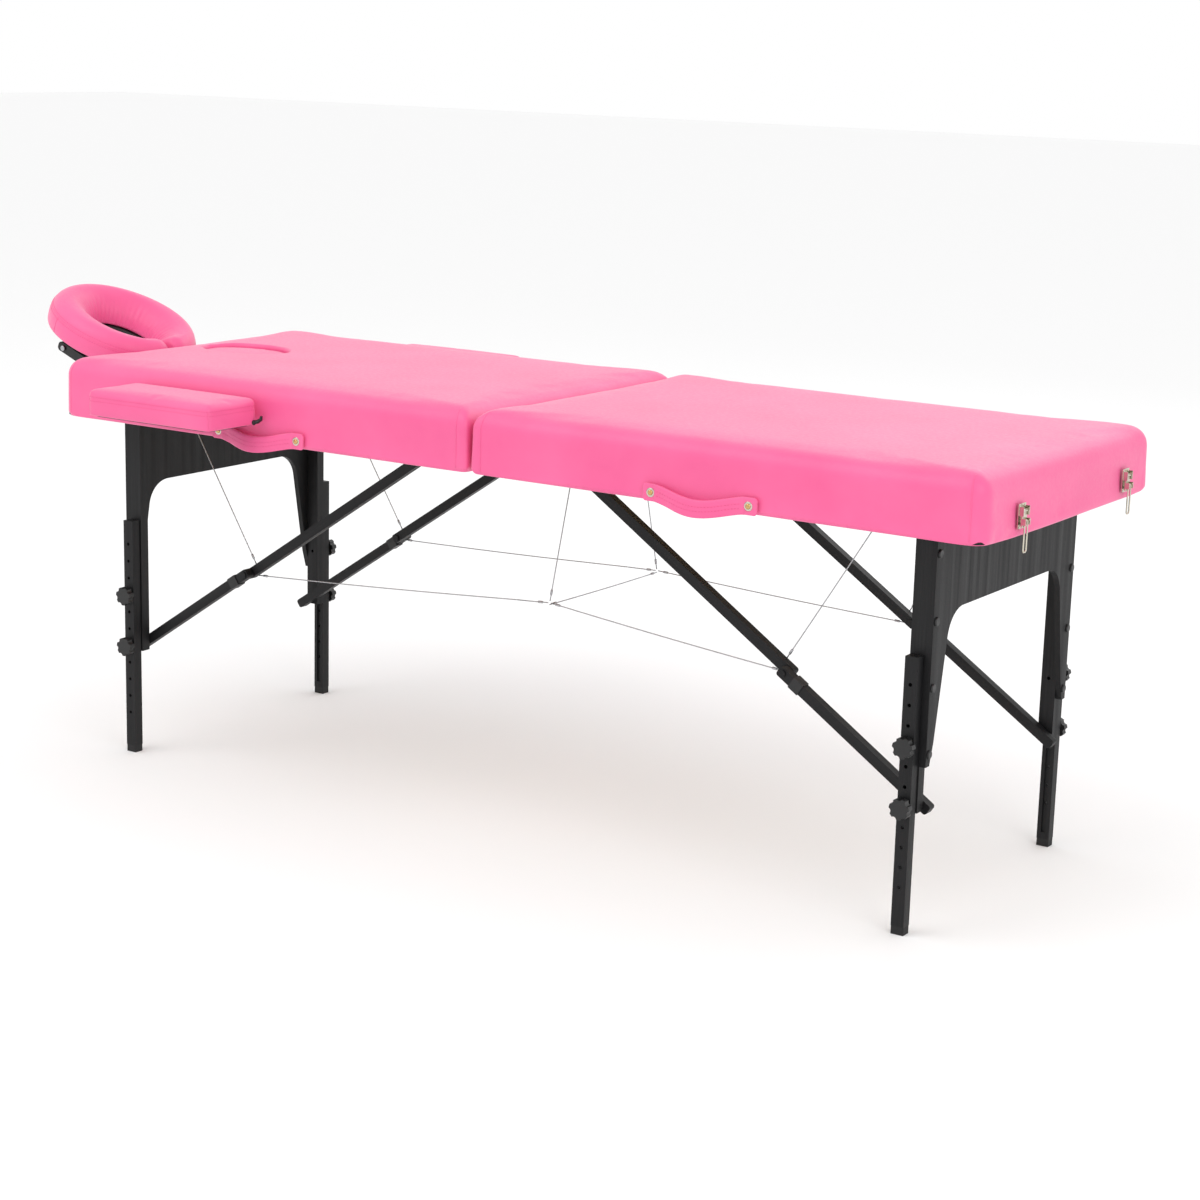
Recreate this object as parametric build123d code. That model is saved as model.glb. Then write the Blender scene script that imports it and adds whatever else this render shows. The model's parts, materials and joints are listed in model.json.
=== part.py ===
"""Folding portable massage table: two hinged padded halves on wooden legs.

Sizes are in millimetres. While it is being built, the model has its origin on the floor
under the seam between the two halves: +X runs to the foot end, +Y to the far side, +Z up.
The export moves everything along X, so that the origin is under the middle of the whole
table. Each sub-part is a function, and most are written for the foot half and mirrored.
"""

from build123d import *
import math
import os

os.makedirs("parts", exist_ok=True)

# ---- driving dimensions: the padded halves ----
half_length = 925.0
half_width = 325.0
pad_bottom = 628.0
pad_top = 732.0
seam_clearance = 0.5
corner_radius = 32.0
top_edge_radius = 30.0
cover_side = 7.0
cover_top = 4.0
cover_lip = 2.0
rail_thickness = 16.0
deck_bottom = 683.0
deck_top = 688.0

# ---- centre hinge ----
hinge_axis_z = 626.0
hinge_leaf_thickness = 1.8
hinge_pin_radius = 2.0
hinge_knuckle_radius = 4.0
hinge_y = 215.0
hinge_width = 90.0

# ---- legs ----
leg_x = 800.0
leg_pivot_z = 655.0
leg_pivot_radius = 4.0
upper_leg_depth = 26.0
upper_leg_inner_y = 243.0
upper_leg_outer_y = 262.0
upper_leg_bottom = 192.0
lower_leg_depth = 22.0
lower_leg_inner_y = 263.0
lower_leg_outer_y = 282.0
lower_leg_top = 440.0
foot_cap_height = 13.0
first_hole_z = 76.5
hole_pitch = 32.0
hole_count = 11
hole_radius = 3.05
lower_knob_hole = 4
upper_knob_hole = 7
knob_radius = 17.0
running_clearance = 0.05

# ---- arch panel ----
panel_thickness = 10.0
panel_top = 640.0
panel_header_bottom = 502.0
panel_tip = 266.0
panel_arm_inner_top = 203.0
panel_arm_inner_tip = 243.0
panel_corner_radius = 50.0
arch_bolt_heights = (285.0, 389.0, 492.0, 596.0)

# ---- folding braces ----
brace_height = 17.0
brace_pivot_x = 140.0
brace_pivot_z = 643.0
brace_tail = 25.0
upper_brace_y = (206.0, 222.0)
lower_brace_y = (224.0, 240.0)

# ---- steel cables ----
cable_radius = 1.0
cable_y = 215.0
cable_node_x = 65.0
node_y = 170.0
node_z = 394.0
hanger_top_y = 90.0
stay_top_x = 735.0

# ---- breathing hole, armrests, headrest ----
plug_x = -760.0
plug_half_length = 92.0
plug_half_width = 62.0
armrest_x = (-724.0, -438.0)
armrest_inner_y = 333.0
armrest_outer_y = 461.0
armrest_bottom = 662.0
armrest_top = 712.0
peg_x = (-680.0, -500.0)
peg_z = 666.0
headrest_hinge_x = -950.0
headrest_hinge_z = 650.0
headrest_tilt = 22.0
headrest_rod_y = 95.0

# ---- latches and handles ----
latch_y = 200.0
handle_x = 447.0
handle_z = 642.0
handle_rivet_spacing = 176.0
handle_width = 26.0

lower_knob_z = first_hole_z + lower_knob_hole * hole_pitch
upper_knob_z = first_hole_z + upper_knob_hole * hole_pitch

# The folding brace is straight when the table stands, and doubled back on itself when the
# leg lies in the half: its two lengths follow from those two states.
leg_drop = leg_pivot_z - lower_knob_z
brace_span = math.hypot(leg_x - brace_pivot_x, brace_pivot_z - lower_knob_z)
folded_gap = math.hypot(leg_x - leg_drop - brace_pivot_x, leg_pivot_z - brace_pivot_z)
lower_brace_length = (brace_span - folded_gap) / 2
upper_brace_length = (brace_span + folded_gap) / 2
brace_slope = math.degrees(math.atan2(lower_knob_z - brace_pivot_z, leg_x - brace_pivot_x))
knee_x = brace_pivot_x + upper_brace_length * math.cos(math.radians(brace_slope))
knee_z = brace_pivot_z + upper_brace_length * math.sin(math.radians(brace_slope))

nodes = {}


def block(x, y, z):
    """A box from (low, high) pairs along X, Y and Z."""
    size = [high - low for low, high in (x, y, z)]
    centre = [(high + low) / 2 for low, high in (x, y, z)]
    return Pos(*centre) * Box(*size)


def rod_y(x, z, radius, y):
    """A cylinder along Y between the two y values."""
    return Pos(x, (y[0] + y[1]) / 2, z) * Rot(90, 0, 0) * Cylinder(radius, abs(y[1] - y[0]))


def rod_x(y, z, radius, x):
    """A cylinder along X between the two x values."""
    return Pos((x[0] + x[1]) / 2, y, z) * Rot(0, 90, 0) * Cylinder(radius, abs(x[1] - x[0]))


def cable(start, end, radius=cable_radius):
    """A straight round cable between two points."""
    run = Vector(*end) - Vector(*start)
    plane = Plane(origin=start, z_dir=run)
    return plane * Pos(0, 0, run.length / 2) * Cylinder(radius, run.length)


def both_sides(shape):
    """The shape and its mirror image on the other long side, as separate solids."""
    return Compound(children=list(shape.solids()) + list(mirror(shape, about=Plane.XZ).solids()))


def group(*shapes):
    """Several separate solids in one node."""
    return Compound(children=[solid for shape in shapes for solid in shape.solids()])


def head_side(shape):
    """The foot half's shape, mirrored to the head half."""
    return mirror(shape, about=Plane.YZ)


# ---- padded half ----
def rounded_slab(x, half_y, z, vertical_radius, top_radius):
    """A slab with rounded upright corners and a rounded top edge."""
    slab = block(x, (-half_y, half_y), z)
    slab = fillet(slab.edges().filter_by(Axis.Z), vertical_radius)
    return fillet(slab.faces().sort_by(Axis.Z)[-1].edges(), top_radius)


def pad_core():
    """The space inside the cover, which the rails, deck and foam fill."""
    x = (seam_clearance + cover_side, half_length - cover_side)
    z = (pad_bottom + cover_lip, pad_top - cover_top)
    inset = cover_side + 11
    return rounded_slab(x, half_width - cover_side, z, inset, top_edge_radius - cover_side)


def pad_opening():
    """The open underside of a half, inside its rails."""
    inner = cover_side + seam_clearance + rail_thickness
    x = (inner, half_length - cover_side - rail_thickness)
    y = half_width - cover_side - rail_thickness
    return block(x, (-y, y), (pad_bottom - 5, deck_bottom))


def hinge_recess():
    """Room for the hinge knuckles in the bottom edge at the seam."""
    half = hinge_width / 2 + 3
    return both_sides(
        block((0, 6), (hinge_y - half, hinge_y + half), (pad_bottom - 1, pad_bottom + 5)))


def breathing_hole(half_x, half_y, z):
    """The oval breathing hole, as a solid to cut with."""
    oval = Pos(plug_x, 0, z[0]) * Ellipse(half_x, half_y)
    return extrude(oval, amount=z[1] - z[0])


def cover(core):
    """The leatherette cover with its side padding, open underneath."""
    x = (seam_clearance, half_length)
    skin = rounded_slab(x, half_width, (pad_bottom, pad_top), corner_radius, top_edge_radius)
    return skin - core - pad_opening() - hinge_recess()


def frame_rails(core):
    """Two side rails and two end rails, and the blocks that carry the braces."""
    opening = pad_opening()
    low = pad_bottom + cover_lip
    inner_y = half_width - cover_side - rail_thickness
    everything = core & block((0, half_length), (-half_width, half_width), (low, deck_bottom))
    ring = everything - opening
    side = ring & block((0, half_length), (inner_y, half_width), (low, deck_bottom))
    ends = ring & block((0, half_length), (-inner_y, inner_y), (low, deck_bottom))
    x = (brace_pivot_x - 18, brace_pivot_x + 18)
    mount = block(x, (180, upper_brace_y[0] - 0.4), (brace_pivot_z - 12, deck_bottom))
    mount -= rod_y(brace_pivot_x, brace_pivot_z, 4, (185, 210))
    return group(both_sides(side), ends, both_sides(mount))


def deck(core):
    """The plywood deck on the rails."""
    return core & block((0, half_length), (-half_width, half_width), (deck_bottom, deck_top))


def foam(core):
    """The foam on the deck."""
    return core & block((0, half_length), (-half_width, half_width), (deck_top, pad_top))


def brace_stud():
    """The shouldered bolt that an upper brace turns on."""
    y0, y1 = upper_brace_y
    shank = rod_y(brace_pivot_x, brace_pivot_z, 4, (185, y1 + 0.4))
    return shank + rod_y(brace_pivot_x, brace_pivot_z, 7, (y1 + 0.4, y1 + 4))


def leg_axle():
    """The cross rod that a pair of legs turns on, its spacers and the brace studs."""
    inner_y = half_width - cover_side - rail_thickness
    rod = rod_y(leg_x, leg_pivot_z, leg_pivot_radius, (-inner_y, inner_y))
    spacer = rod_y(leg_x, leg_pivot_z, 8, (upper_leg_outer_y + 0.4, inner_y))
    spacer -= rod_y(leg_x, leg_pivot_z, leg_pivot_radius, (upper_leg_outer_y, inner_y + 1))
    return group(rod, both_sides(spacer), both_sides(brace_stud()))


def hinge_leaf(spans):
    """One leaf of a butt hinge under the seam rail, with its knuckles at the given spans."""
    low = hinge_axis_z + 2 - hinge_leaf_thickness
    half = hinge_width / 2
    plate = block((1.5, 24), (hinge_y - half, hinge_y + half), (low, pad_bottom))
    clear = rod_y(0, hinge_axis_z, hinge_knuckle_radius + 0.4,
                  (hinge_y - half - 1, hinge_y + half + 1))
    plate -= clear
    for span in spans:
        y = [hinge_y - half + part * hinge_width for part in span]
        barrel = rod_y(0, hinge_axis_z, hinge_knuckle_radius, y)
        barrel += block((0, 6), y, (low, pad_bottom))
        plate += barrel
    plate -= rod_y(0, hinge_axis_z, hinge_pin_radius + running_clearance,
                   (hinge_y - half - 1, hinge_y + half + 1))
    return both_sides(plate)


def hinge_pins():
    """The two pins of the centre hinges, with small heads."""
    half = hinge_width / 2
    pin = rod_y(0, hinge_axis_z, hinge_pin_radius, (hinge_y - half, hinge_y + half))
    for y in (hinge_y - half - 1.5, hinge_y + half):
        pin += rod_y(0, hinge_axis_z, 3, (y, y + 1.5))
    return both_sides(pin)


# ---- legs ----
def arch_bolt_shanks():
    """The arch panel's bolts in the near leg, for drilling and for the bolts."""
    y = (upper_leg_inner_y + upper_leg_outer_y) / 2
    x = (leg_x + 3, leg_x + upper_leg_depth / 2 + panel_thickness)
    shanks = [rod_x(y, z, 3, x) for z in arch_bolt_heights]
    return both_sides(Compound(children=shanks))


def upper_legs():
    """The pair of upper legs with their tongues and drilled holes."""
    half = upper_leg_depth / 2
    y = (upper_leg_inner_y, upper_leg_outer_y)
    leg = block((leg_x - half, leg_x + half), y, (upper_leg_bottom, leg_pivot_z))
    leg += rod_y(leg_x, leg_pivot_z, half, y)
    tongue = (upper_leg_outer_y - 1, lower_leg_inner_y + 2)
    leg += block((leg_x - 3.5, leg_x + 3.5), tongue, (upper_leg_bottom, lower_leg_top - 20))
    leg -= rod_y(leg_x, leg_pivot_z, leg_pivot_radius + running_clearance, (240, 265))
    for z in (lower_knob_z, upper_knob_z):
        leg -= rod_y(leg_x, z, hole_radius, (240, 270))
    return both_sides(leg) - arch_bolt_shanks()


def arch_panel():
    """The plywood arch that joins a pair of upper legs."""
    outer = upper_leg_outer_y
    edge = [(-outer, panel_top), (outer, panel_top), (outer, panel_tip),
            (panel_arm_inner_tip + 6, panel_tip), (panel_arm_inner_tip - 4, panel_tip + 34),
            (panel_arm_inner_top, panel_header_bottom), (-panel_arm_inner_top, panel_header_bottom),
            (-panel_arm_inner_tip + 4, panel_tip + 34), (-panel_arm_inner_tip - 6, panel_tip),
            (-outer, panel_tip)]
    outline = Plane.YZ * make_face(Polyline(*edge, close=True))
    panel = extrude(outline, amount=panel_thickness)
    panel = Pos(leg_x + upper_leg_depth / 2, 0, 0) * panel
    upright = panel.edges().filter_by(Axis.X)

    def near(edge_, y, z):
        centre = edge_.center()
        return abs(abs(centre.Y) - y) < 1 and abs(centre.Z - z) < 1

    inner = [e for e in upright if near(e, panel_arm_inner_top, panel_header_bottom)]
    panel = fillet(inner, panel_corner_radius)
    upright = panel.edges().filter_by(Axis.X)
    tips = [e for e in upright if near(e, panel_arm_inner_tip - 4, panel_tip + 34)]
    panel = fillet(tips, 25)
    return panel - arch_bolt_shanks()


def arch_bolts():
    """Dome-headed bolts that hold the arch panel to the legs."""
    y = (upper_leg_inner_y + upper_leg_outer_y) / 2
    face = leg_x + upper_leg_depth / 2 + panel_thickness
    heads = []
    for z in arch_bolt_heights:
        head = rod_x(y, z, 7, (face, face + 3))
        heads.append(fillet(head.faces().sort_by(Axis.X)[-1].edges(), 2) +
                     rod_x(y, z, 3, (leg_x + 3, face)))
    return both_sides(Compound(children=heads))


def lower_leg():
    """A lower leg with its row of height holes and the groove for the tongue."""
    half = lower_leg_depth / 2
    y = (lower_leg_inner_y, lower_leg_outer_y)
    leg = block((leg_x - half, leg_x + half), y, (foot_cap_height, lower_leg_top))
    groove = (foot_cap_height + 12, lower_leg_top + 1)
    leg -= block((leg_x - 4, leg_x + 4), (lower_leg_inner_y - 1, lower_leg_inner_y + 3), groove)
    for index in range(hole_count):
        leg -= rod_y(leg_x, first_hole_z + index * hole_pitch, hole_radius, (260, 290))
    return leg


def foot_cap():
    """The rubber cap under a lower leg."""
    half = lower_leg_depth / 2
    cap = block((leg_x - half, leg_x + half), (lower_leg_inner_y, lower_leg_outer_y),
                (0, foot_cap_height))
    return fillet(cap.edges().filter_by(Axis.Z), 1.5)


def knob(z):
    """A seven-lobed clamping knob with its bolt, on the outside of a lower leg."""
    face = lower_leg_outer_y + 0.3
    body = rod_y(leg_x, z, knob_radius, (face + 4, face + 16))
    for lobe in range(7):
        angle = math.radians(360 / 7 * lobe)
        reach = knob_radius + 2.2
        body -= rod_y(leg_x + reach * math.sin(angle), z + reach * math.cos(angle), 5,
                      (face + 3, face + 17))
    body += rod_y(leg_x, z, 9, (face, face + 4))
    return body + rod_y(leg_x, z, hole_radius - running_clearance, (lower_leg_inner_y + 3.2, face))


# ---- folding braces ----
def brace_bar(start, end, y, start_tail, end_tail):
    """A flat brace bar between two pivots, with rounded ends past them."""
    radius = brace_height / 2
    run = Vector(end[0] - start[0], 0, end[1] - start[1])
    step = run.normalized()
    first = Vector(start[0], 0, start[1]) - step * start_tail
    last = Vector(end[0], 0, end[1]) + step * end_tail
    centre = (first + last) * 0.5
    angle = -math.degrees(math.atan2(step.Z, step.X))
    length = (last - first).length
    bar = Pos(centre.X, (y[0] + y[1]) / 2, centre.Z) * Rot(0, angle, 0) * Box(
        length, y[1] - y[0], brace_height)
    return fillet(bar.edges().filter_by(Axis.Y), radius * 0.55)


def upper_braces():
    """The long bars from the half's blocks to the knees."""
    bar = brace_bar((brace_pivot_x, brace_pivot_z), (knee_x, knee_z), upper_brace_y, 9, 9)
    bar -= rod_y(brace_pivot_x, brace_pivot_z, 4 + running_clearance, (200, 230))
    pin_hole = rod_y(knee_x, knee_z, 3, (200, 230))
    pin = rod_y(knee_x, knee_z, 3, upper_brace_y)
    pin += rod_y(knee_x, knee_z, 6, (upper_brace_y[0] - 3, upper_brace_y[0]))
    return group(both_sides(bar - pin_hole), both_sides(pin))


def lower_braces():
    """The short bars from the knees to the legs, with their flush pivot bolts."""
    bar = brace_bar((knee_x, knee_z), (leg_x, lower_knob_z), lower_brace_y, 9, brace_tail)
    bolts = []
    for x, z in ((knee_x, knee_z), (leg_x, lower_knob_z)):
        bolt = rod_y(x, z, 3, (lower_brace_y[0] + 1, lower_brace_y[1]))
        bar -= bolt
        side = lower_brace_y[1] if x < leg_x - 10 else lower_brace_y[1] - 1.0
        head = rod_y(x, z, 6, (side, side + 2.4))
        bar -= head
        bolts.append(bolt + head)
    return group(both_sides(bar), both_sides(Compound(children=bolts)))


def knee_brackets():
    """The steel box brackets that wrap the lower bars beside the knees."""
    along = Vector(math.cos(math.radians(brace_slope)), 0, math.sin(math.radians(brace_slope)))
    centre = Vector(knee_x, 0, knee_z) + along * 30
    y = (lower_brace_y[0] + lower_brace_y[1]) / 2 + 0.05
    place = Pos(centre.X, y, centre.Z) * Rot(0, -brace_slope, 0)
    wall = 1.5
    width = lower_brace_y[1] - lower_brace_y[0]
    shell = Box(20, width + 2 * wall - 0.1, brace_height + 2 * wall)
    shell -= Box(30, width + 0.1, brace_height + 0.1)
    return both_sides(place * shell)


# ---- cables ----
def cable_between(start, end, share=1.0):
    """A cable along part of the way from one point to another."""
    reach = Vector(*start) + (Vector(*end) - Vector(*start)) * share
    return cable(start, (reach.X, reach.Y, reach.Z))


def knee_cables(node_x):
    """The stays and long runs of one half, whose far ends meet at the given node."""
    bar_side = brace_height / 2 / math.cos(math.radians(brace_slope))
    rise = -math.tan(math.radians(brace_slope))
    y = cable_y - 1
    stay_foot = (knee_x - 8, y, knee_z + 8 * rise + bar_side + 2)
    stay = cable(stay_foot, (stay_top_x, y, deck_bottom - 0.5))
    start = (knee_x - 14, y, knee_z + 14 * rise - bar_side - 2)
    end = (node_x + 3, node_y, node_z)
    share = 1.0 if node_x > 0 else (start[0] - seam_clearance - 0.2) / (start[0] - end[0])
    return both_sides(stay), both_sides(cable_between(start, end, share)), start, end


def head_cables():
    """The head half's cables, as they lie before they are mirrored to the head end."""
    stays, runs, _, _ = knee_cables(-cable_node_x)
    return group(stays, runs)


def foot_cables():
    """The foot half's cables, with the hangers, the cross cable and the runs' last stretch."""
    stays, runs, _, _ = knee_cables(cable_node_x)
    _, _, start, end = knee_cables(-cable_node_x)
    share = (start[0] + seam_clearance + 0.2) / (start[0] - end[0])
    seam_end = Vector(*start) + (Vector(*end) - Vector(*start)) * share
    stub = cable((-seam_end.X, seam_end.Y, seam_end.Z), (cable_node_x - 3, node_y, node_z))
    hanger = cable((cable_node_x, node_y - 1, node_z + 3),
                   (cable_node_x, hanger_top_y, deck_bottom - 0.5))
    cross = rod_y(cable_node_x, node_z - 3, cable_radius, (-node_y, node_y))
    return group(stays, runs, both_sides(stub), both_sides(hanger), cross)


# ---- handles, latches, keepers ----
def handle(x):
    """A bowed carrying strap with a rivet and washer at each end, on the near long side."""
    half = handle_rivet_spacing / 2
    bow = 14.0
    thick = 4.0
    inner = [Line((half + 15, 0), (half - 8, 0)),
             ThreePointArc((half - 8, 0), (0, -bow), (-half + 8, 0)),
             Line((-half + 8, 0), (-half - 15, 0)),
             Line((-half - 15, 0), (-half - 15, -thick)),
             Line((-half - 15, -thick), (-half + 4, -thick)),
             ThreePointArc((-half + 4, -thick), (0, -bow - thick), (half - 4, -thick)),
             Line((half - 4, -thick), (half + 15, -thick)),
             Line((half + 15, -thick), (half + 15, 0))]
    strap = extrude(make_face(Wire(inner)), amount=handle_width)
    strap = Pos(x, -half_width, handle_z - handle_width / 2) * strap
    rivets = []
    for side in (-1, 1):
        place = x + side * half
        washer = rod_y(place, handle_z, 6.5, (-half_width - thick - 1.2, -half_width - thick))
        dome = rod_y(place, handle_z, 4, (-half_width - thick - 3.6, -half_width - thick - 1.2))
        rivets += [washer, dome]
    return group(strap, *rivets)


def latch_plate():
    """The fixed plate of a draw latch on the foot end, with its two ears."""
    plate = block((half_length, half_length + 1.6), (latch_y - 13, latch_y + 13), (640, 678))
    for y in (latch_y - 11, latch_y + 9.5):
        plate += block((half_length + 1, half_length + 9), (y, y + 1.5), (660, 674))
    return plate


def latch_lever(y):
    """The latch's lever, which turns on the plate's ears."""
    lever = block((half_length + 4, half_length + 6), (y - 8.5, y + 8.5), (643, 670))
    lever += rod_y(half_length + 5, 667, 2.5, (y - 9.2, y + 9.2))
    for side in (-1, 1):
        low = y + side * 7.5 - 1
        lever += block((half_length + 5, half_length + 12), (low, low + 2), (646, 656))
    return lever


def latch_loop(y):
    """The wire loop that hangs from the lever."""
    path = FilletPolyline((0, -5.2), (48, -5.2), (48, 5.2), (0, 5.2), radius=4, close=True)
    x = half_length + 9
    plane = Plane(origin=(x, y, 653), x_dir=(0, 0, -1), z_dir=(1, 0, 0))
    wire = plane * path
    start = wire.edges()[0]
    profile = Plane(origin=start @ 0, z_dir=start % 0) * Circle(1.3)
    return sweep(profile, path=wire)


def keeper():
    """The hooked keeper on the head end that a latch's loop closes over."""
    base = block((-half_length - 1.6, -half_length), (latch_y - 9, latch_y + 9), (648, 676))
    hook = block((-half_length - 7, -half_length - 1), (latch_y - 6, latch_y + 6), (652, 655))
    lip = block((-half_length - 7, -half_length - 5.4), (latch_y - 6, latch_y + 6), (652, 662))
    return base + hook + lip


# ---- accessories of the head half ----
def accessory_bores():
    """Holes for the headrest rods and the armrest pegs, as solids to cut with."""
    holes = [rod_x(side * headrest_rod_y, 655, 8, (-930, -880)) for side in (-1, 1)]
    holes += [rod_y(x, peg_z, 7, (side * 300, side * 330)) for x in peg_x for side in (-1, 1)]
    return Compound(children=holes)


def end_fittings():
    """Flanged bushes for the headrest rods and armrest pegs, and the latch keepers."""
    bushes = []
    for side in (-1, 1):
        bush = rod_x(side * headrest_rod_y, 655, 8, (-half_length, -890))
        bush += rod_x(side * headrest_rod_y, 655, 12, (-half_length - 2, -half_length))
        bushes.append(bush - rod_x(side * headrest_rod_y, 655, 6.1, (-930, -880)))
        for x in peg_x:
            bush = rod_y(x, peg_z, 7, (side * 302, side * half_width))
            bush += rod_y(x, peg_z, 11, (side * half_width, side * (half_width + 2)))
            bushes.append(bush - rod_y(x, peg_z, 4.1, (side * 300, side * 330)))
    return group(*bushes, both_sides(keeper()))


def armrest(side):
    """A side armrest: cushion, black board under it, and two pegs."""
    y = sorted((side * armrest_inner_y, side * armrest_outer_y))
    board_top = armrest_bottom + 8
    board = block(armrest_x, y, (armrest_bottom, board_top))
    board = fillet(board.edges().filter_by(Axis.Z), 12)
    cushion = block(armrest_x, y, (board_top, armrest_top))
    cushion = fillet(cushion.edges().filter_by(Axis.Z), 14)
    cushion = fillet(cushion.faces().sort_by(Axis.Z)[-1].edges(), 10)
    pegs = []
    for x in peg_x:
        peg = rod_y(x, peg_z, 4, (side * 303, side * 360))
        board -= rod_y(x, peg_z, 4, (side * 330, side * 360))
        cushion -= rod_y(x, peg_z, 4, (side * 330, side * 360))
        pegs.append(peg)
    return group(board, cushion, *pegs)


def breathing_plug():
    """The oval cushion that fills the breathing hole."""
    plug = breathing_hole(plug_half_length - 0.6, plug_half_width - 0.6, (deck_top, pad_top - 3))
    return fillet(plug.faces().sort_by(Axis.Z)[-1].edges(), 6)


def headrest_frame():
    """Two rods that slide into the head end, joined by the bar the headrest tilts on."""
    frame = rod_y(headrest_hinge_x, headrest_hinge_z, 9, (-114, 114))
    frame += rod_y(headrest_hinge_x, headrest_hinge_z, 4, (-142, 130))
    for side in (-1, 1):
        frame += rod_x(side * headrest_rod_y, 655, 6, (headrest_hinge_x, -836))
    return frame


def headrest_place():
    """Where the headrest lies: its local X runs outward and up from the tilt axis."""
    origin = (headrest_hinge_x, 0, headrest_hinge_z)
    tilt = math.radians(headrest_tilt)
    outward = (-math.cos(tilt), 0, math.sin(tilt))
    return Plane(origin=origin, x_dir=outward, z_dir=(math.sin(tilt), 0, math.cos(tilt)))


def headrest_platform():
    """The tilting platform: a board with a face hole, on two side arms."""
    outline = Pos(158, 0) * Ellipse(132, 124) - Pos(152, 0) * Ellipse(64, 52)
    outline -= Pos(20, 0) * Rectangle(100, 30)
    board = Pos(0, 0, 9) * extrude(outline, amount=8)
    arms = []
    for side in (-1, 1):
        arm = Pos(88, side * 122, 0) * Box(206, 8, 18)
        arm = fillet(arm.edges().filter_by(Axis.Y), 7)
        arm -= Rot(90, 0, 0) * Cylinder(4 + running_clearance, 400)
        arms.append(arm)
    rivets = [Pos(176, side * 127.5, 0) * Rot(90, 0, 0) * Cylinder(5, 3) for side in (-1, 1)]
    place = headrest_place()
    return group(place * board, *[place * arm for arm in arms], *[place * r for r in rivets])


def headrest_cushion():
    """The horseshoe face cushion."""
    outline = Pos(155, 0) * Ellipse(148, 142) - Pos(152, 0) * Ellipse(68, 58)
    outline -= Pos(45, 0) * Rectangle(120, 8)
    ring = Pos(0, 0, 17.3) * extrude(outline, amount=62)
    return headrest_place() * ring


def headrest_cam_lever():
    """The clamping lever on the near end of the tilt axis."""
    hub = rod_y(headrest_hinge_x, headrest_hinge_z, 9, (-139, -128))
    grip = block((headrest_hinge_x, headrest_hinge_x + 12), (-138, -130),
                 (headrest_hinge_z - 48, headrest_hinge_z))
    lever = hub + fillet(grip.edges().filter_by(Axis.Y), 3)
    return lever - rod_y(headrest_hinge_x, headrest_hinge_z, 4 + running_clearance, (-143, -125))


# ---- assembly ----
core = pad_core()
end_name = {"foot": lambda shape: shape, "head": head_side}
foam_hole = breathing_hole(plug_half_length, plug_half_width, (deck_top, pad_top + 5))
deck_hole = breathing_hole(plug_half_length - 10, plug_half_width - 10, (deck_bottom, deck_top))
bores = accessory_bores()

for end, place in end_name.items():
    nodes[end + "_frame_rails"] = place(frame_rails(core))
    nodes[end + "_deck"] = place(deck(core))
    nodes[end + "_foam"] = place(foam(core))
    nodes[end + "_cover"] = place(cover(core))
    nodes[end + "_leg_axle"] = place(leg_axle())
    nodes[end + "_upper_legs"] = place(upper_legs())
    nodes[end + "_arch_panel"] = place(arch_panel())
    nodes[end + "_arch_bolts"] = place(arch_bolts())
    nodes[end + "_upper_braces"] = place(upper_braces())
    nodes[end + "_lower_braces"] = place(lower_braces())
    nodes[end + "_knee_brackets"] = place(knee_brackets())
    nodes[end + "_cables"] = place(foot_cables() if end == "foot" else head_cables())
    for side_name, side in (("near", -1), ("far", 1)):
        def sided(shape, flip=side < 0):
            return place(mirror(shape, about=Plane.XZ) if flip else shape)

        nodes[f"{end}_lower_leg_{side_name}"] = sided(lower_leg())
        nodes[f"{end}_foot_cap_{side_name}"] = sided(foot_cap())
        nodes[f"{end}_lower_knob_{side_name}"] = sided(knob(lower_knob_z))
        nodes[f"{end}_upper_knob_{side_name}"] = sided(knob(upper_knob_z))

nodes["head_frame_rails"] -= bores
nodes["head_cover"] -= foam_hole
nodes["head_cover"] -= bores
nodes["head_foam"] -= foam_hole
nodes["head_deck"] -= deck_hole

nodes["foot_hinge_leaves"] = hinge_leaf([(0.205, 0.395), (0.605, 0.795)])
nodes["head_hinge_leaves"] = head_side(hinge_leaf([(0, 0.195), (0.405, 0.595), (0.805, 1)]))
nodes["centre_hinge_pins"] = hinge_pins()
nodes["foot_handle"] = handle(handle_x)
nodes["head_handle"] = handle(-handle_x)
nodes["latch_plates"] = both_sides(latch_plate())
for side_name, side in (("near", -1), ("far", 1)):
    nodes["latch_lever_" + side_name] = latch_lever(side * latch_y)
    nodes["latch_loop_" + side_name] = latch_loop(side * latch_y)
    nodes["armrest_" + side_name] = armrest(side)
nodes["head_end_fittings"] = end_fittings()
nodes["breathing_plug"] = breathing_plug()
nodes["headrest_frame"] = headrest_frame()
nodes["headrest_platform"] = headrest_platform()
nodes["headrest_cushion"] = headrest_cushion()
nodes["headrest_cam_lever"] = headrest_cam_lever()

low_x = min(shape.bounding_box().min.X for shape in nodes.values())
high_x = max(shape.bounding_box().max.X for shape in nodes.values())
seam_x = -(low_x + high_x) / 2

for name, shape in nodes.items():
    export_step(Compound(children=list((Pos(seam_x, 0, 0) * shape).solids())), f"parts/{name}.step")

print("seam at x =", round(seam_x, 3), "knee at", round(knee_x, 2), round(knee_z, 2))
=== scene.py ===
"""Looks of a folding massage table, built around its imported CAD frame.

Sizes are in metres, in the frame's own axes: +X to the foot end, +Y to the far side, +Z up.
Positions come from the frame's boxes and joints. Soft parts are modelled here and puffed up
with a short cloth simulation; hard parts keep their CAD shape and get a material.
"""

import json
import math
import random

import bmesh
import bpy
import numpy as np
from mathutils import Matrix, Vector


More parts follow.
